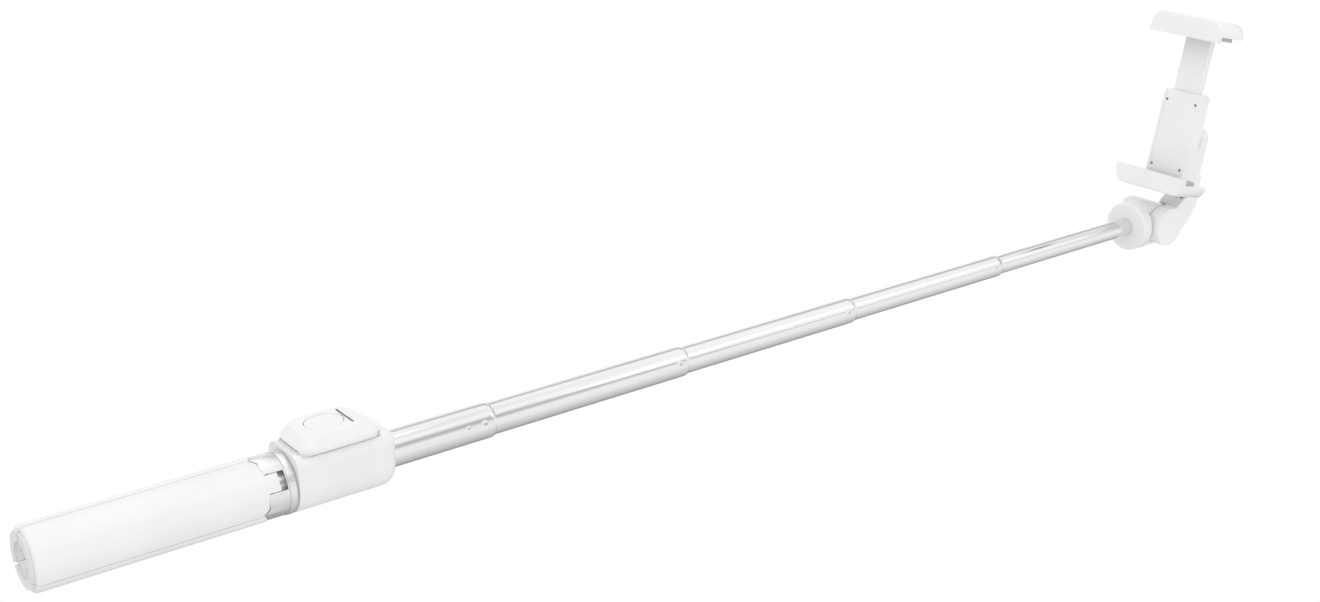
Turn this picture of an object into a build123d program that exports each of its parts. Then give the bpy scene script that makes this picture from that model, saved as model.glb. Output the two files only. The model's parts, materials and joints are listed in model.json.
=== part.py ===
from build123d import *
from math import cos, radians, sin
import os

# A telescopic selfie stick, laid out at full length.
# +X runs along the pole from the handle's free end to the head, +Z is up.
# The origin is the centre of the handle's free end, on the pole's axis.

# ---- handle legs ----
handle_r = 13.2          # outside of the closed legs
leg_end_x = 93.7         # hub end of the legs
leg_bore_r = 6.7         # hollow inside the closed legs
tube_room_r = 8.3        # wider hollow where the outer tube reaches in
tube_room_x = 76.0
leg_seam = 0.35          # gap between neighbouring legs
leg_corner_r = 6.0       # plan rounding of each leg's hub end
leg_angles = {"near": 150.0, "far": 30.0, "bottom": 270.0}  # from +Y towards +Z
leg_end_round = 1.6      # round on the legs' free end
foot_t = 1.2             # rubber pad on each leg's free end
pin_x = 96.0             # leg pin, along the pole
pin_depth = 2.8          # leg pin, below the legs' outside
pin_height = handle_r - pin_depth
pin_r = 1.0
pin_half = 5.6
tongue_w = 7.4
tongue_gap = 0.3
nose_clear_r = 3.75      # legs keep this far from their pin
nose_gap = 0.35          # from there to the hub's nose

# ---- hub, collar and housing ----
hub_r = handle_r - 0.3
hub_prong_x = 89.5
hub_end_x = 101.5
spigot_r = 10.6          # hub's neck inside the collar and the housing
collar_end_x = 105.4
fit = 0.02               # between pieces fixed to each other
gap = 0.3                # between pieces that move
housing_end_x = 150.4
housing_top = handle_r + 0.8
housing_wall = 1.6
housing_corner_r = 6.0
housing_rim_r = 5.5      # round on the head end of the housing's top
pocket = (108.0, 144.2, handle_r - 2.0)   # start x, end x, half width
pocket_floor = housing_top - 3.4

# ---- tubes ----
mouths = [200.2, 304.3, 408.3, 512.3, 615.6]   # where each tube ends
outer_tube_r = 7.75
step_r = 0.75            # each tube is this much smaller in radius
tube_wall = 0.4
crimp_gap = 0.1
crimp_len = 1.8
outer_tube_x = 78.0
overlap = 14.0           # of a sliding tube inside the one before
sleeve_t = 0.3
sleeve_gap = 0.05
dimple_r = 5.5           # ball that presses the dimples
dimple_depth = 0.25
dimple_angle = 160.0     # on the side that faces the user

# ---- remote ----
remote_mid_x = 126.0
remote_len = 36.2
remote_w = 2 * handle_r - 0.8
remote_t = 6.5
remote_base_z = housing_top + gap
remote_top_z = remote_base_z + remote_t
remote_skin = 1.5
top_trim = (9.5, 6.4)    # the remote's top is this much smaller than its foot
top_shift = 1.5
tray_floor = pocket_floor + 1.9
board_t = 0.8
button_mid_x = 124.0
button_len = 16.0
button_w = 13.0
button_flange = 0.5
switch_top = remote_base_z + 1.95
button_travel = 0.5
slit_x = 133.3

# ---- head ----
head_r = 13.3
head_face_x = mouths[-1]
tilt_x = 634.0
lug_r = 11.0
lug_y = (-7.8, 12.4)     # head cap's lug, across
knuckle_y = (-16.0, -8.2)
tilt_pin_r = 3.0
tilt_recess = 3.4
tilt_recess_r = 6.6
lean = 13.5              # the clamp leans back by this angle

# ---- clamp, in its own leaning frame: u up the phone, n away from the user ----
phone_h = 76.2
phone_y = -9.5
clamp_foot = (627.0, 31.0)      # x and z of the phone's lower edge
jaw_w = 46.0
jaw_t = 6.8              # lower jaw under its pad
upper_jaw_t = 8.1
jaw_corner_r = 6.0
pad_t = 2.2
lip_n = (-6.6, -5.0)     # thin lip in front of the phone
lip_u = 1.0              # how far the lips reach over the phone's edge
spine_n = (5.4, 13.4)
spine_w = 24.0
spine_top = 46.0
stem_n = (7.3, 11.5)
stem_w = 16.0
stem_foot = 22.0
cover_t = 1.5
cover_rim = 2.2          # seat beside the stem's channel
swivel_u = 21.0
swivel_r = 4.0
boss_r = 9.0
boss_n = 20.6            # back of the swivel boss
arm_n = (21.0, 29.0)     # the arm's upright, behind the clamp
arm_y = (-16.0, -3.0)
elbow = (3.5, 9.6)       # foot of the arm's inner slope, from the tilt axis
elbow_slope = 33.2
elbow_len = 10.76
arm_plate_t = 0.8
arm_screw_places = (-14.2, -10.8)   # across the arm


def along_x(x0, x1, r):
    """A round bar along the pole's axis."""
    return Pos(x0, 0, 0) * (Rot(0, 90, 0) * Cylinder(r, x1 - x0, align=(Align.CENTER, Align.CENTER, Align.MIN)))


def along_y(x, z, y0, y1, r):
    """A round bar across the pole."""
    return Pos(x, y0, z) * (Rot(-90, 0, 0) * Cylinder(r, y1 - y0, align=(Align.CENTER, Align.CENTER, Align.MIN)))


def block(x0, x1, y0, y1, z0, z1):
    return Pos((x0 + x1) / 2, (y0 + y1) / 2, (z0 + z1) / 2) * Box(x1 - x0, y1 - y0, z1 - z0)


def ring(x0, x1, r, bore):
    return along_x(x0, x1, r) - along_x(x0 - 1, x1 + 1, bore)


def turned(points):
    """Turn an (x, r) outline about the pole's axis."""
    face = make_face(Polyline(*[(x, 0, r) for x, r in points], close=True))
    return revolve(face, Axis.X, 360)


def around(angle, shape):
    """Place a shape drawn with its middle straight up at an angle about the pole."""
    return Rot(angle - 90, 0, 0) * shape


def wedge(x0, x1, half_angle, r):
    """The slice of space within half_angle of straight up."""
    y = r * sin(radians(half_angle))
    z = r * cos(radians(half_angle))
    face = make_face(Polyline((x0, 0, 0), (x0, -y, z), (x0, -y, 2 * r), (x0, y, 2 * r), (x0, y, z), close=True))
    return extrude(face, amount=x1 - x0, dir=(1, 0, 0))


def leg_plan(grow, x0):
    """A leg seen from straight above, as a tall block with rounded hub corners."""
    half = handle_r * sin(radians(60)) + grow
    body = block(x0, leg_end_x + grow, -half, half, 0.5, 2 * handle_r)
    corners = body.edges().filter_by(Axis.Z).group_by(Axis.X)[-1]
    return fillet(corners, leg_corner_r)


def in_clamp(shape):
    """From (n, y, u) drawn as (x, y, z) to the leaning clamp's place."""
    return Pos(clamp_foot[0], phone_y, clamp_foot[1]) * (Rot(0, lean, 0) * shape)


def tongue_outline():
    top = handle_r - pin_height
    low = tube_room_r - pin_height
    nose = 2.25
    tip = Pos(pin_x, 0, pin_height) * (Rot(90, 0, 0) * Cylinder(nose, tongue_w))
    bar = block(leg_end_x - 6, pin_x, -tongue_w / 2, tongue_w / 2, pin_height + low, pin_height + top)
    brow = make_face(Polyline((pin_x, 0, pin_height), (pin_x, 0, pin_height + top),
                              (pin_x + 1.9, 0, pin_height + top - 0.1),
                              (pin_x + 2.45, 0, pin_height + 1.3),
                              (pin_x + nose, 0, pin_height), close=True))
    brow = extrude(brow, amount=tongue_w / 2, dir=(0, 1, 0), both=True)
    return bar + tip + brow


def leg():
    body = along_x(foot_t, leg_end_x, handle_r)
    body = fillet(body.edges().group_by(Axis.X)[0], leg_end_round) - along_x(-1, leg_end_x + 1, leg_bore_r)
    body = body - along_x(tube_room_x, leg_end_x + 1, tube_room_r)
    seam_lift = leg_seam / 2 / sin(radians(60))
    body = body & (Pos(0, 0, seam_lift) * wedge(-1, leg_end_x + 1, 60, 4 * handle_r))
    body = body & leg_plan(0, -1)
    body = body - Pos(pin_x, 0, pin_height) * (Rot(90, 0, 0) * Cylinder(nose_clear_r, 4 * handle_r))
    tongue = tongue_outline() & ring(leg_end_x - 7, leg_end_x + 9, handle_r, tube_room_r)
    return body + tongue - pin_bar(pin_r + 0.06, tongue_w)


def pin_bar(r, half):
    return Pos(pin_x, 0, pin_height) * (Rot(90, 0, 0) * Cylinder(r, 2 * half))


def foot_pad():
    pad = ring(0, foot_t - fit, handle_r - leg_end_round - 0.2, leg_bore_r + 0.6)
    return pad & (Pos(0, 0, 0.6) * wedge(-1, 9, 60, 4 * handle_r))


def hub():
    body = ring(hub_prong_x, hub_end_x, hub_r, outer_tube_r + fit)
    body += ring(hub_end_x, collar_end_x + 3, spigot_r, outer_tube_r + fit)
    for angle in leg_angles.values():
        space = leg_plan(0.4, hub_prong_x - 9) & wedge(hub_prong_x - 9, leg_end_x + 9, 60, 4 * handle_r)
        half = tongue_w / 2 + tongue_gap
        slot = block(leg_end_x - 5, hub_end_x - 0.6, -half, half, 0, 2 * handle_r)
        nose = pin_bar(nose_clear_r - nose_gap, handle_r) & ring(leg_end_x - 6, pin_x, hub_r, outer_tube_r + fit)
        nose &= Pos(0, 0, 0.1) * wedge(leg_end_x - 6, pin_x, 60, 4 * handle_r)
        body -= around(angle, space)
        body += around(angle, nose)
        body -= around(angle, slot)
        body -= around(angle, pin_bar(pin_r + fit, pin_half + fit))
    return body


def collar():
    body = ring(hub_end_x + fit, collar_end_x, handle_r, spigot_r + fit)
    groove = ring(collar_end_x - 0.9, collar_end_x + 1, handle_r + 1, handle_r - 0.7)
    return body - groove


def half_round(x0, x1, r, top):
    return along_x(x0, x1, r) + block(x0, x1, -r, r, 0, top)


def housing():
    body = half_round(collar_end_x + fit, housing_end_x, handle_r, housing_top)
    uprights = body.edges().filter_by(Axis.Z).group_by(Axis.X)[-1]
    body = fillet(uprights, housing_corner_r)
    rim = body.edges().group_by(Axis.Z)[-1].filter_by(lambda e: e.center().X > 142)
    body = fillet(rim, housing_rim_r)
    hollow = half_round(collar_end_x + 1.4, housing_end_x - 6, handle_r - housing_wall, pocket_floor - housing_wall)
    hollow -= along_x(collar_end_x, housing_end_x, outer_tube_r + 1.2)
    seat = block(pocket[0], pocket[1], -pocket[2], pocket[2], pocket_floor, 2 * housing_top)
    seat = fillet(seat.edges().filter_by(Axis.Z), 4)
    body -= along_x(collar_end_x - 1, collar_end_x + 3.05, spigot_r + fit)
    body -= along_x(collar_end_x, housing_end_x + 1, outer_tube_r + fit)
    for x, y in cradle_screw_places():
        body -= Pos(x, y, pocket_floor) * Cylinder(0.95 + fit, 4)
    return body - hollow - seat


def cradle_plate():
    x0, x1, half = pocket
    plate = block(x0 + 0.3, x1 - 0.3, -half + 0.3, half - 0.3, pocket_floor + fit, pocket_floor + 0.8)
    plate = fillet(plate.edges().filter_by(Axis.Z), 3.7)
    for x, y in cradle_screw_places():
        plate -= Pos(x, y, pocket_floor) * Cylinder(0.95 + fit, 5)
        plate -= Pos(x, y, pocket_floor + 0.4 - fit + 2.5) * Cylinder(1.7 + fit, 5)
    for x in magnet_places():
        plate -= Pos(x, 0, pocket_floor) * Cylinder(4.05, 5)
    return plate


def cradle_screw_places():
    return [(pocket[0] + 3.5, 7.0), (pocket[0] + 3.5, -7.0), (pocket[1] - 3.5, 7.0), (pocket[1] - 3.5, -7.0)]


def magnet_places():
    return [remote_mid_x - 9, remote_mid_x + 9]


def tube(index):
    """A polished tube with a crimped, slightly tapered mouth and a pressed dimple."""
    r = outer_tube_r - index * step_r
    start = outer_tube_x if index == 0 else mouths[index - 1] - overlap
    last = index == len(mouths) - 1
    end = mouths[index] + 7.0 if last else mouths[index]
    bore = r - tube_wall
    throat = r - step_r + crimp_gap
    if last:
        body = ring(start, end, r, bore)
    else:
        body = turned([(start, bore), (start, r), (end - 2.2, r), (end - 0.9, r - 0.12), (end, r - 0.4),
                       (end, throat), (end - crimp_len, throat), (end - crimp_len, bore)])
    places = [] if last else [(end - 6.0, dimple_depth)]
    if index == 0:
        places.append((end - 14.0, dimple_depth / 2))
    for x, depth in places:
        ball = Pos(x, 0, r + dimple_r - depth) * Sphere(dimple_r)
        body -= around(dimple_angle, ball)
    return body


def sleeve(index):
    r = outer_tube_r - index * step_r
    limit = mouths[index - 1] - crimp_len - gap
    return ring(mouths[index - 1] - overlap + 1.5, limit, r + step_r - tube_wall - sleeve_gap, r + fit / 2)


def pillow(shrink, z0, z1):
    """The remote's pebble shape, smaller by shrink all round."""
    low = Pos(remote_mid_x, 0, z0) * RectangleRounded(remote_len - 2 * shrink, remote_w - 2 * shrink, 7 - shrink)
    knee_z = remote_base_z + 1.6
    knee = Pos(remote_mid_x, 0, knee_z) * RectangleRounded(remote_len - 2 * shrink, remote_w - 2 * shrink, 7 - shrink)
    top = Pos(remote_mid_x - top_shift, 0, z1) * RectangleRounded(remote_len - top_trim[0] - 2 * shrink,
                                                            remote_w - top_trim[1] - 2 * shrink, 5 - shrink)
    body = loft([low.face(), knee.face()], ruled=True) + loft([knee.face(), top.face()], ruled=True)
    return body


def remote_cover():
    body = pillow(0, remote_base_z, remote_top_z)
    rims = body.edges().group_by(Axis.Z)
    body = fillet(rims[-1], 1.6)
    knee_z = remote_base_z + 1.6
    knee = body.edges().filter_by(lambda e: abs(e.center().Z - knee_z) < 0.05 and e.length > 0)
    body = fillet(knee, 2.2)
    inner = pillow(remote_skin, remote_base_z - 0.01, remote_top_z - remote_skin)
    body -= inner
    body -= button_block(gap, remote_base_z, remote_top_z + 5)
    body -= block(slit_x - 0.5, slit_x + 0.5, -7.5, 7.5, remote_top_z - 4, remote_top_z + 1)
    body -= block(remote_mid_x - remote_len / 2 - 1, remote_mid_x - remote_len / 2 + 2.4, -8, 8,
                  remote_base_z - 1, remote_base_z + 1.0)
    return body


def button_block(grow, z0, z1):
    plan = Pos(button_mid_x, 0, z0) * RectangleRounded(button_len + 2 * grow, button_w + 2 * grow, 6.4 + grow)
    return extrude(plan, amount=z1 - z0)


def shutter_button():
    body = button_block(0, remote_top_z - 2.0, remote_top_z - 0.05)
    body = fillet(body.edges().group_by(Axis.Z)[-1], 0.3)
    flange = Pos(button_mid_x, 0, remote_top_z - 2.9) * RectangleRounded(
        button_len + 2 * button_flange, button_w + 2 * button_flange, 6.9)
    body += extrude(flange, amount=1.0)
    return body + Pos(button_mid_x, 0, remote_top_z - 3.4) * Cylinder(1.5, 1.2)


def remote_base():
    x0, x1, half = pocket
    tray = block(x0 + gap, x1 - gap, -half + gap, half - gap, pocket_floor + 1.1, remote_base_z)
    tray = fillet(tray.edges().filter_by(Axis.Z), 3.7)
    inner = block(x0 + 1.5, x1 - 1.5, -half + 1.5, half - 1.5, tray_floor, remote_base_z + 1)
    brim = pillow(0.02, remote_base_z - 0.28, remote_base_z + 5) & block(
        0, 300, -50, 50, remote_base_z - 0.28, remote_base_z - fit)
    return tray - inner + (brim - inner)


def head_cap():
    body = along_x(head_face_x, tilt_x - 6, head_r)
    body = fillet(body.edges().group_by(Axis.X)[0], 1.0)
    body += along_y(tilt_x, 0, lug_y[0], lug_y[1], lug_r)
    body += block(tilt_x - 6, tilt_x, lug_y[0], lug_y[1], -lug_r, lug_r)
    body &= block(head_face_x - 1, tilt_x + 30, lug_y[0], head_r + 1, -head_r - 1, head_r + 1) + \
        block(head_face_x - 1, tilt_x - lug_r - 1.0, -head_r - 1, 0, -head_r - 1, head_r + 1)
    body -= along_x(head_face_x - 1, head_face_x + 7.2, outer_tube_r - 4 * step_r + fit)
    body -= along_x(head_face_x + 7.1, head_face_x + 9.6, outer_tube_r - 4 * step_r - tube_wall)
    body -= along_y(tilt_x, 0, lug_y[0] - 1, lug_y[1] + 1, tilt_pin_r + 0.05)
    body -= along_y(tilt_x, 0, lug_y[1] - tilt_recess, lug_y[1] + 1, tilt_recess_r)
    return body


def tube_plug():
    r = outer_tube_r - 4 * step_r - tube_wall
    return along_x(head_face_x - 6, head_face_x + 9.5, r - 2 * fit)


def tilt_pin():
    return along_y(tilt_x, 0, knuckle_y[0] + 2.5, lug_y[1] - 1.2, tilt_pin_r)


def tilt_washer():
    y0 = knuckle_y[1]
    return along_y(tilt_x, 0, y0 + fit, lug_y[0] - 0.08, 8.5) - along_y(tilt_x, 0, y0 - 1, 0, tilt_pin_r + fit)


def tilt_spring_washer():
    y0 = lug_y[1] - tilt_recess
    return along_y(tilt_x, 0, y0 + 0.05, y0 + 0.7, 5.9) - along_y(tilt_x, 0, y0 - 1, y0 + 2, tilt_pin_r + fit)


def tilt_nut():
    y0 = lug_y[1] - tilt_recess + 0.72
    hexagon = Pos(tilt_x, y0, 0) * (Rot(-90, 0, 0) * extrude(RegularPolygon(5.9, 6), amount=1.5))
    return hexagon - along_y(tilt_x, 0, y0 - 1, y0 + 3, tilt_pin_r + fit)


def tilt_cover():
    return along_y(tilt_x, 0, lug_y[1] - 0.8, lug_y[1], tilt_recess_r - fit)


def clamp_bar(n0, n1, u, r):
    """A round bar along n, in the clamp's frame."""
    return Pos(n0, 0, u) * (Rot(0, 90, 0) * Cylinder(r, n1 - n0, align=(Align.CENTER, Align.CENTER, Align.MIN)))


def tilt_arm():
    """A knuckle disc, and a chunky arm that rises behind the clamp."""
    disc = along_y(tilt_x, 0, knuckle_y[0], knuckle_y[1], 10.5)
    outline = [(3.0, -9.5), (13.5, -1.0), (18.5, 5.0), (22.0, 10.5), (22.4, 18.0), (23.5, 25.0),
               (15.6, 27.0), (12.5, 15.5), elbow]
    face = make_face(Polyline(*[(tilt_x + x, 0, z) for x, z in outline], close=True))
    foot = Pos(0, arm_y[0], 0) * extrude(face, amount=arm_y[1] - arm_y[0], dir=(0, 1, 0))
    foot -= along_y(tilt_x, 0, knuckle_y[1], arm_y[1] + 1, lug_r + 0.6)
    y_mid = (arm_y[0] + arm_y[1]) / 2 - phone_y
    half = (arm_y[1] - arm_y[0]) / 2
    upright = block(arm_n[0], arm_n[1], y_mid - half, y_mid + half, -8, swivel_u)
    upright += clamp_bar(arm_n[0], arm_n[1], swivel_u, half)
    upright -= clamp_bar(arm_n[0] - 1, arm_n[1] - 2.6, swivel_u, swivel_r + fit)
    upright -= clamp_bar(arm_n[0], arm_n[1] + 1, swivel_u, 1.6)
    upright -= clamp_bar(arm_n[1] - 1.5, arm_n[1] + 1, swivel_u, 3.3)
    body = disc + foot + in_clamp(upright)
    body -= along_y(tilt_x, 0, knuckle_y[0] + 2.5, knuckle_y[1] + 1, tilt_pin_r + fit)
    for y in arm_screw_places:
        body -= on_elbow(screw_bar(y, -4.0, 1.0, 0.7))
    return body


def on_elbow(shape):
    """From a slope drawn along +X, facing +Z, to the arm's inner face."""
    return Pos(tilt_x + elbow[0], 0, elbow[1]) * (Rot(0, -elbow_slope, 0) * shape)


def screw_bar(y, z0, z1, r):
    return Pos(elbow_len - 2.0, y, z0) * Cylinder(r, z1 - z0, align=(Align.CENTER, Align.CENTER, Align.MIN))


def arm_plate():
    plate = block(1.9, elbow_len - 0.3, arm_y[0] + 0.6, arm_y[1] - 0.6, fit, arm_plate_t)
    plate = fillet(plate.edges().filter_by(Axis.Z), 0.8)
    for y in arm_screw_places:
        plate -= screw_bar(y, -1, 2, 0.75)
    return on_elbow(plate)


def arm_screws():
    found = []
    for y in arm_screw_places:
        head = screw_bar(y, arm_plate_t + fit, arm_plate_t + 0.45, 1.0)
        head -= block(0, elbow_len, y - 0.2, y + 0.2, arm_plate_t + 0.25, arm_plate_t + 1)
        found.append(on_elbow(head + screw_bar(y, -3.8, arm_plate_t + fit, 0.66)))
    return found


def swivel_pin():
    pin = clamp_bar(15.0, arm_n[1] - 2.7, swivel_u, swivel_r)
    pin += clamp_bar(14.3, 15.6, swivel_u, swivel_r + 1.5)
    return in_clamp(pin - clamp_bar(17.5, arm_n[1], swivel_u, 1.55))


def swivel_screw():
    return in_clamp(clamp_bar(18.0, arm_n[1] - 1.0, swivel_u, 1.5)
                    + clamp_bar(arm_n[1] - 1.5 + fit, arm_n[1] - 0.2, swivel_u, 3.2))


def swivel_washer():
    washer = clamp_bar(boss_n + 0.08, arm_n[0] - fit, swivel_u, 6.8)
    return in_clamp(washer - clamp_bar(boss_n - 1, arm_n[0] + 1, swivel_u, swivel_r + fit))


def swivel_retainer():
    collar = clamp_bar(15.9, boss_n, swivel_u, boss_r)
    return in_clamp(collar - clamp_bar(15, boss_n + 1, swivel_u, swivel_r + 0.06))


def jaw(u0, u1, rounded_low):
    """A jaw's plate, with its two outer corners rounded."""
    plate = block(lip_n[0], spine_n[1], -jaw_w / 2, jaw_w / 2, u0, u1)
    corners = plate.edges().filter_by(Axis.X).group_by(Axis.Z)[0 if rounded_low else -1]
    radius = jaw_corner_r if rounded_low else upper_jaw_t - 1.2
    plate = fillet(corners, radius)
    return plate


def rounded_lip(u0, u1):
    lip = block(lip_n[0], lip_n[1], -jaw_w / 2, jaw_w / 2, u0, u1)
    return lip


def clamp_housing():
    low = -pad_t - jaw_t
    body = jaw(low, -pad_t, True) + rounded_lip(-pad_t - 1, lip_u)
    body = fillet(body.edges().filter_by(lambda e: abs(e.center().X - lip_n[0]) < 0.01 and e.center().Z < -pad_t), 1.2)
    spine = block(spine_n[0], spine_n[1], -spine_w / 2, spine_w / 2, -pad_t - 1, spine_top)
    spine = fillet(spine.edges().filter_by(Axis.X).group_by(Axis.Z)[-1], 3)
    body += spine
    body += clamp_bar(spine_n[1] - 1, 15.88, swivel_u, boss_r)
    body -= clamp_bar(13.7, 17, swivel_u, swivel_r + 1.9)
    half = stem_w / 2 + gap
    body -= block(stem_n[0] - gap, stem_n[1] + gap, -half, half, 1.2, spine_top + 1)
    body -= block(spine_n[0] - 1, spine_n[0] + cover_t, -half - cover_rim, half + cover_rim, 0.8, spine_top + 1)
    for y, u in cover_screw_places():
        body -= clamp_bar(spine_n[0], spine_n[1] - 1.2, u, 0.75).moved(Location((0, y, 0)))
    return in_clamp(body)


def cover_screw_places():
    y = (stem_w + cover_rim) / 2 + gap
    return [(-y, 4.0), (y, 4.0), (-y, 40.0), (y, 40.0)]


def clamp_cover():
    half = stem_w / 2 + gap + cover_rim - 0.05
    plate = block(spine_n[0] + 0.1, spine_n[0] + cover_t - fit, -half, half, 0.9, spine_top - 0.3)
    for y, u in cover_screw_places():
        plate -= clamp_bar(spine_n[0] - 1, spine_n[1], u, 0.8).moved(Location((0, y, 0)))
    return in_clamp(plate)


def clamp_screws():
    found = []
    for y, u in cover_screw_places():
        shank = clamp_bar(spine_n[0] + 0.1, spine_n[1] - 1.4, u, 0.7).moved(Location((0, y, 0)))
        found.append(in_clamp(shank))
    return found


def lower_jaw_pad():
    half = jaw_w / 2 - 2.0
    pad = block(lip_n[1] + fit, spine_n[0] - fit, -half, half, -pad_t + fit, -0.1)
    return in_clamp(ribbed(pad, -0.1, -1))


def upper_jaw_pad():
    half = jaw_w / 2 - 2.0
    pad = block(lip_n[1] + fit, spine_n[0] + 1.9, -half, half, phone_h + 0.1, phone_h + pad_t - fit)
    return in_clamp(ribbed(pad, phone_h + 0.1, 1))


def ribbed(pad, face_u, side):
    """Shallow grooves across the gripping face."""
    for step in range(-9, 10):
        y = step * 2.2
        groove = block(lip_n[1] - 1, spine_n[1], y - 0.35, y + 0.35, face_u - 0.4, face_u + 0.4)
        pad -= groove
    return pad


def upper_jaw():
    base = phone_h + pad_t
    body = jaw(base, base + upper_jaw_t, False) + rounded_lip(phone_h - lip_u, base + 1)
    body = fillet(body.edges().filter_by(
        lambda e: abs(e.center().X - lip_n[0]) < 0.01 and e.center().Z > base), 1.2)
    body += block(stem_n[0], stem_n[1], -stem_w / 2, stem_w / 2, stem_foot, base + 1)
    body -= block(stem_n[0] - 1, stem_n[1] + 1, -5.4, 5.4, stem_foot + 2.0, stem_foot + 6.4)
    return in_clamp(body)


def clamp_spring():
    """The rolled drum of the constant-force strip that pulls the jaws together."""
    mid_n = (stem_n[0] + stem_n[1]) / 2
    drum = Pos(mid_n, 0, stem_foot + 4.2) * (Rot(90, 0, 0) * (Cylinder(2.0, 10) - Cylinder(1.1, 12)))
    axle = Pos(mid_n, 0, stem_foot + 4.2) * (Rot(90, 0, 0) * Cylinder(1.0, 10.7))
    return in_clamp(drum), in_clamp(axle)


def cradle_screws():
    found = []
    for x, y in cradle_screw_places():
        shank = Pos(x, y, pocket_floor - 1.5) * Cylinder(0.95, 2.4, align=(Align.CENTER, Align.CENTER, Align.MIN))
        head = Pos(x, y, pocket_floor + 0.4) * Cylinder(1.7, 0.4, align=(Align.CENTER, Align.CENTER, Align.MIN))
        slot = block(x - 1.2, x + 1.2, y - 0.2, y + 0.2, pocket_floor + 0.6, pocket_floor + 1)
        found.append(shank + head - slot)
    return found


def cradle_magnets():
    return [Pos(x, 0, pocket_floor + fit) * Cylinder(4.0, 0.75, align=(Align.CENTER, Align.CENTER, Align.MIN))
            for x in magnet_places()]


def remote_board():
    plan = Pos(remote_mid_x, 0, remote_base_z + fit) * RectangleRounded(remote_len - 3, remote_w - 4.8, 4.5)
    return extrude(plan, amount=board_t)


def tact_switch():
    z0 = remote_base_z + 2 * fit + board_t
    body = block(button_mid_x - 2.6, button_mid_x + 2.6, -2.6, 2.6, z0, switch_top - 0.5)
    return body + Pos(button_mid_x, 0, switch_top) * Cylinder(1.6, 1.0, align=(Align.CENTER, Align.CENTER, Align.MAX))


def steel_plate():
    return block(remote_mid_x - 14, remote_mid_x + 14, -6, 6, tray_floor + fit, tray_floor + 0.32)


def battery():
    z0 = tray_floor + 0.34
    return Pos(remote_mid_x + 7, 0, z0) * Cylinder(6.25, remote_base_z - fit - z0, align=(
        Align.CENTER, Align.CENTER, Align.MIN))


def light_window():
    return block(slit_x - 0.48, slit_x + 0.48, -7.48, 7.48, remote_top_z - 2.4, remote_top_z - 0.3)


part = {}
for side, angle in leg_angles.items():
    part[f"leg_{side}"] = around(angle, leg())
    part[f"foot_pad_{side}"] = around(angle, foot_pad())
part["leg_pins"] = [around(angle, pin_bar(pin_r, pin_half)) for angle in leg_angles.values()]
part["leg_hub"] = hub()
part["collar_ring"] = collar()
part["housing_shell"] = housing()
part["cradle_plate"] = cradle_plate()
part["outer_tube"] = tube(0)
for index in range(1, 5):
    part[f"tube_{index + 1}"] = tube(index)
    part[f"sleeve_{index + 1}"] = sleeve(index)
for make in (cradle_screws, cradle_magnets, remote_cover, remote_base, shutter_button, remote_board,
             tact_switch, battery, steel_plate, light_window, head_cap, tube_plug, tilt_pin, tilt_washer,
             tilt_spring_washer, tilt_nut, tilt_cover, tilt_arm, arm_plate, arm_screws, swivel_pin,
             swivel_screw, swivel_washer, swivel_retainer, clamp_housing, clamp_cover, clamp_screws,
             lower_jaw_pad, upper_jaw, upper_jaw_pad, clamp_spring):
    part[make.__name__] = make()

os.makedirs("parts", exist_ok=True)
for name, shape in part.items():
    solids = shape if isinstance(shape, (list, tuple)) else [shape]
    export_step(Compound(children=[s for item in solids for s in item.solids()]), f"parts/{name}.step")
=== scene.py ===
import json
import bpy
from mathutils import Matrix, Vector


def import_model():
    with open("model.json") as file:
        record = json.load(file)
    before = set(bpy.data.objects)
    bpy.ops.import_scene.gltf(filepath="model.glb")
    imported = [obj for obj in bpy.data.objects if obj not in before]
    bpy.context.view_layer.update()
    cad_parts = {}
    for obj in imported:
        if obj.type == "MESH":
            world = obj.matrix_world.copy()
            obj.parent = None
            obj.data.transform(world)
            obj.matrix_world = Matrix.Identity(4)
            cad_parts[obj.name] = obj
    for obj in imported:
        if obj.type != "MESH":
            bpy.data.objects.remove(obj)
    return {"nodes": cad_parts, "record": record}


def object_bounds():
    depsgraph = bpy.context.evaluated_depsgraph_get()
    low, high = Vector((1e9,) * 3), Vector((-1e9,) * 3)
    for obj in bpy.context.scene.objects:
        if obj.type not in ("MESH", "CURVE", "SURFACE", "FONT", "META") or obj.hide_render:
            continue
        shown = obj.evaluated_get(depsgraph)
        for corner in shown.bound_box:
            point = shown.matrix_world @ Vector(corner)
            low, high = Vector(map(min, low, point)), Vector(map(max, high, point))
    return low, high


# A selfie stick on a plain white ground, seen from above its handle.

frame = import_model()
cad_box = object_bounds()
nodes = frame["nodes"]

# ---- camera, in the object's frame, in metres ----
CAMERA_AT = Vector((-0.1638, -0.6075, 0.3230))
CAMERA_AIM = Vector((0.56068, 0.74688, -0.35750))
CAMERA_RIGHT = Vector((0.79801, -0.60259, -0.00737))
LENS_MM = 49.45

# ---- light ----
FLOOR_DROP = 0.55
WORLD_LEVEL = 0.95
ROOM_GLOSS = 1.12
BANDS = [   # height in the mirrored room from 0 below to 1 above, and its grey
    (0.0, 0.60), (0.46, 0.92), (0.56, 0.92), (0.62, 0.76), (0.66, 0.62), (0.74, 0.48),
    (0.79, 0.66), (0.83, 0.90), (0.88, 1.0), (0.915, 0.97), (0.95, 0.85), (1.0, 0.85)]
GROUND_BANDS = [   # the same for the mirrored ground, from in front of the pole to behind it
    (0.10, 1.0), (0.25, 0.86), (0.34, 0.72), (0.40, 0.56), (0.50, 0.28), (0.60, 0.56), (0.75, 0.95)]
LAMPS = {   # name: place, aim, size, watts
    "key": ((-0.9, -1.3, 1.7), (0.3, 0, 0), 1.4, 3.6),
    "top": ((0.3, 0.2, 1.9), (0.3, 0, 0), 1.6, 2.2),
    "head": ((1.5, -0.9, 0.9), (0.6, 0, 0.05), 0.9, 1.0),
}

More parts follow.
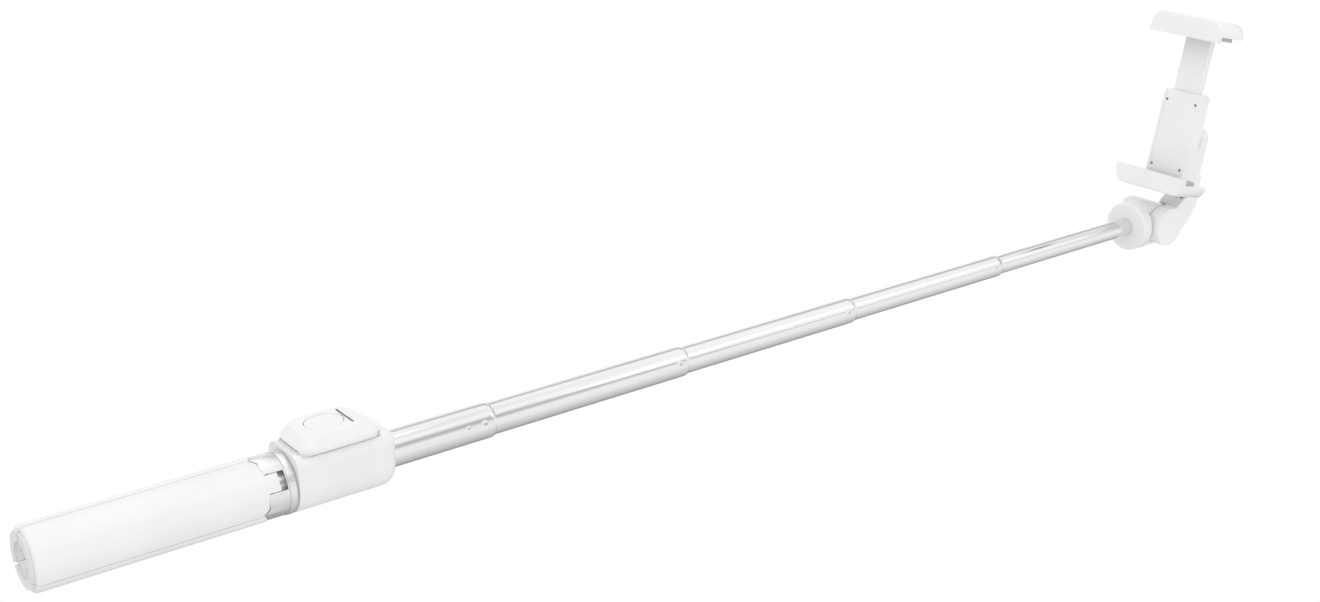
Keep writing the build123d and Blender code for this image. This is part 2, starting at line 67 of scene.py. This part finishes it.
# ---- ground, in metres ----
FLOOR_HALF = 6.0
FLOOR_FRONT, FLOOR_BACK = -1.6, 2.4   # the stretch that GROUND_BANDS covers

# ---- small rounds on the moulded pieces' sharp edges, in metres ----
EDGE_ROUND = 0.00035
SAME_POINT = 1e-6
SHARP_ANGLE = 0.6
ROUNDED = ("leg_near", "leg_far", "leg_bottom", "collar_ring", "housing_shell", "head_cap", "tilt_arm",
           "clamp_housing", "upper_jaw", "leg_hub", "remote_cover", "arm_plate", "lower_jaw_pad",
           "upper_jaw_pad")

# ---- what every finish shares ----
DRIFT_SCALE = 38.0     # of the slow drift in colour and gloss, in turns per metre
DRIFT_DARK = 0.965     # the darkest colour, as a share of the tint
WORN_TINT = (0.9, 0.9, 0.9, 1.0)
COAT_ROUGH = 0.12
WHITE = (1.0, 1.0, 1.0, 1.0)


def camera():
    data = bpy.data.cameras.new("camera")
    data.lens = LENS_MM
    data.sensor_width = 36.0
    data.clip_start, data.clip_end = 0.01, 20.0
    cam = bpy.data.objects.new("camera", data)
    back = -CAMERA_AIM.normalized()
    right = (CAMERA_RIGHT - CAMERA_RIGHT.project(back)).normalized()
    up = back.cross(right)
    turn = Matrix((right, up, back)).transposed().to_4x4()
    cam.matrix_world = Matrix.Translation(CAMERA_AT) @ turn
    bpy.context.scene.collection.objects.link(cam)
    bpy.context.scene.camera = cam


class Nodes:
    """A short way to write a node tree."""

    def __init__(self, tree):
        self.tree = tree
        tree.nodes.clear()

    def add(self, kind, values=None, **settings):
        node = self.tree.nodes.new(kind)
        for name, value in settings.items():
            setattr(node, name, value)
        for name, value in (values or {}).items():
            if isinstance(value, bpy.types.NodeSocket):
                self.tree.links.new(value, node.inputs[name])
            else:
                node.inputs[name].default_value = value
        return node

    def ramp(self, factor, stops):
        node = self.add("ShaderNodeValToRGB", {"Fac": factor})
        band = node.color_ramp
        while len(band.elements) < len(stops):
            band.elements.new(0.5)
        for element, (place, level) in zip(band.elements, stops):
            element.position = place
            colour = level if isinstance(level, tuple) else (level, level, level)
            element.color = (*colour, 1.0)
        return node.outputs["Color"]


def world():
    """A white room for the eye, and soft bands of grey for what polished metal mirrors."""
    made = bpy.data.worlds.new("room")
    made.use_nodes = True
    bpy.context.scene.world = made
    n = Nodes(made.node_tree)
    place = n.add("ShaderNodeTexCoord").outputs["Generated"]
    height = n.add("ShaderNodeSeparateXYZ", {"Vector": place}).outputs["Z"]
    lifted = n.add("ShaderNodeMapRange", {"Value": height, "From Min": -1.0,
                                          "From Max": 1.0}).outputs["Result"]
    bands = n.ramp(lifted, BANDS)
    room = n.add("ShaderNodeBackground", {"Color": WHITE, "Strength": WORLD_LEVEL})
    mirrored = n.add("ShaderNodeBackground", {"Color": bands, "Strength": ROOM_GLOSS})
    seen = n.add("ShaderNodeBackground", {"Color": WHITE, "Strength": 1.0})
    path = n.add("ShaderNodeLightPath")
    gloss = n.add("ShaderNodeMixShader", {0: path.outputs["Is Glossy Ray"], 1: room.outputs[0],
                                          2: mirrored.outputs[0]})
    mix = n.add("ShaderNodeMixShader", {0: path.outputs["Is Camera Ray"], 1: gloss.outputs[0],
                                        2: seen.outputs[0]})
    n.add("ShaderNodeOutputWorld", {"Surface": mix.outputs[0]})


def lamps():
    for name, (place, aim, size, watts) in LAMPS.items():
        data = bpy.data.lights.new(name, "AREA")
        data.shape = "DISK"
        data.size = size
        data.energy = watts
        lamp = bpy.data.objects.new(name, data)
        lamp.location = place
        lamp.rotation_euler = (Vector(place) - Vector(aim)).to_track_quat("Z", "Y").to_euler()
        bpy.context.scene.collection.objects.link(lamp)


def floor():
    """White to the eye, pale paint to the light, and bands of grey for what polished metal mirrors."""
    z = cad_box[0].z - FLOOR_DROP
    half = FLOOR_HALF
    corners = [(-half, -half, z), (half, -half, z), (half, half, z), (-half, half, z)]
    mesh = bpy.data.meshes.new("floor")
    mesh.from_pydata(corners, [], [(0, 1, 2, 3)])
    ground = bpy.data.objects.new("floor", mesh)
    bpy.context.scene.collection.objects.link(ground)
    made = bpy.data.materials.new("white_ground")
    made.use_nodes = True
    n = Nodes(made.node_tree)
    place = n.add("ShaderNodeTexCoord").outputs["Object"]
    mottle = n.add("ShaderNodeTexNoise", {"Vector": place, "Scale": 3.0}).outputs["Fac"]
    paint = n.add("ShaderNodeBsdfDiffuse", {"Color": n.ramp(mottle, [(0.3, 0.84), (0.7, 0.88)])})
    white = n.add("ShaderNodeEmission", {"Color": WHITE, "Strength": 1.0})
    depth = n.add("ShaderNodeSeparateXYZ", {"Vector": place}).outputs["Y"]
    across = n.add("ShaderNodeMapRange", {"Value": depth, "From Min": FLOOR_FRONT,
                                          "From Max": FLOOR_BACK}).outputs["Result"]
    mirrored = n.add("ShaderNodeEmission", {"Color": n.ramp(across, GROUND_BANDS), "Strength": 1.0})
    path = n.add("ShaderNodeLightPath")
    gloss = n.add("ShaderNodeMixShader", {0: path.outputs["Is Glossy Ray"], 1: paint.outputs[0],
                                          2: mirrored.outputs[0]})
    mix = n.add("ShaderNodeMixShader", {0: path.outputs["Is Camera Ray"], 1: gloss.outputs[0],
                                        2: white.outputs[0]})
    n.add("ShaderNodeOutputMaterial", {"Surface": mix.outputs[0]})
    mesh.materials.append(made)


def finish(name, tint, rough, grain, depth, spread=0.03, metallic=0.0, stretch=(1, 1, 1),
           worn=0.0, coat=0.0):
    """A finish with fine grain in its bump, slow drift in its colour and gloss, and lighter edges.

    tint is the colour, rough the roughness and spread its drift. grain is the size of the grain and
    depth its height, both in metres, and stretch packs the grain closer along an axis. worn is how
    much the edges lighten, and coat the weight of a clear coat.
    """
    made = bpy.data.materials.new(name)
    made.use_nodes = True
    n = Nodes(made.node_tree)
    place = n.add("ShaderNodeTexCoord").outputs["Object"]
    along = n.add("ShaderNodeMapping", {"Vector": place, "Scale": stretch}).outputs["Vector"]
    fine = n.add("ShaderNodeTexNoise", {"Vector": along, "Scale": 1.0 / grain, "Detail": 4.0}).outputs["Fac"]
    slow = n.add("ShaderNodeTexNoise", {"Vector": place, "Scale": DRIFT_SCALE, "Detail": 3.0}).outputs["Fac"]
    dark = tuple(c * DRIFT_DARK for c in tint)
    base = n.ramp(slow, [(0.35, dark), (0.65, tint)])
    if worn:
        edge = n.add("ShaderNodeNewGeometry").outputs["Pointiness"]
        mask = n.ramp(edge, [(0.50, 0.0), (0.56, worn)])
        base = n.add("ShaderNodeMix", {0: mask, 6: base, 7: WORN_TINT},
                     data_type="RGBA").outputs[2]
    gloss = n.add("ShaderNodeMapRange", {"Value": slow, "From Min": 0.3, "From Max": 0.7,
                                         "To Min": rough - spread,
                                         "To Max": rough + spread}).outputs["Result"]
    bump = n.add("ShaderNodeBump", {"Height": fine, "Strength": 0.5, "Distance": depth}).outputs["Normal"]
    shader = n.add("ShaderNodeBsdfPrincipled", {"Base Color": base, "Roughness": gloss, "Normal": bump,
                                                "Metallic": metallic, "Coat Weight": coat,
                                                "Coat Roughness": COAT_ROUGH})
    n.add("ShaderNodeOutputMaterial", {"Surface": shader.outputs[0]})
    return made


def finishes():
    """One finish for each material slot of the record."""
    white = (0.90, 0.90, 0.905)
    return {
        "white_gloss": finish("white_plastic", white, 0.34, 0.0006, 0.00002, coat=0.25),
        "remote_white": finish("remote_plastic", (0.915, 0.915, 0.92), 0.38, 0.0004, 0.00002, coat=0.15),
        "hub_metal": finish("satin_metal", (0.80, 0.805, 0.81), 0.30, 0.0005, 0.00002, metallic=0.9,
                            stretch=(6, 1, 1), worn=0.4),
        "pale_rubber": finish("pale_rubber", (0.78, 0.78, 0.785), 0.78, 0.0005, 0.00006),
        "pad_grey": finish("pad_rubber", (0.50, 0.51, 0.53), 0.72, 0.0006, 0.00006),
        "polished_steel": finish("polished_steel", (0.80, 0.80, 0.81), 0.11, 0.0008, 0.00001, spread=0.03,
                                 metallic=1.0, stretch=(0.04, 1, 1), worn=0.3),
        "sleeve_plastic": finish("sleeve_plastic", (0.82, 0.82, 0.80), 0.5, 0.0006, 0.00003),
        "pin_steel": finish("pin_steel", (0.55, 0.55, 0.56), 0.3, 0.0004, 0.00002, metallic=1.0, worn=0.3),
        "plate_metal": finish("plate_metal", (0.62, 0.625, 0.635), 0.46, 0.0004, 0.00004, metallic=0.35,
                              stretch=(1, 8, 1), worn=0.5),
        "dark_screw": finish("dark_screw", (0.10, 0.10, 0.105), 0.4, 0.0004, 0.00003, metallic=0.6, worn=0.2),
        "board_green": finish("board_lacquer", (0.05, 0.18, 0.10), 0.3, 0.001, 0.00003, coat=0.4),
        "switch_dark": finish("switch_plastic", (0.05, 0.05, 0.055), 0.45, 0.0005, 0.00003),
        "light_lens": finish("light_lens", (0.10, 0.10, 0.11), 0.18, 0.001, 0.00001, coat=0.5),
    }


def dress(made):
    """Each node takes the finish of its slot in the record."""
    slots = {s["node"]: s["material_slot"] for s in frame["record"]["subparts"]}
    for name, node in nodes.items():
        node.data.materials.clear()
        node.data.materials.append(made[slots[name]])


def soften():
    """Small rounds on the moulded pieces' sharp edges."""
    for name in ROUNDED:
        node = nodes[name]
        weld = node.modifiers.new("weld", "WELD")
        weld.merge_threshold = SAME_POINT
        bevel = node.modifiers.new("round", "BEVEL")
        bevel.width = EDGE_ROUND
        bevel.segments = 2
        bevel.limit_method = "ANGLE"
        bevel.angle_limit = SHARP_ANGLE
        bevel.harden_normals = True


camera()
world()
lamps()
floor()
dress(finishes())
soften()
bpy.context.scene.view_settings.view_transform = "Standard"
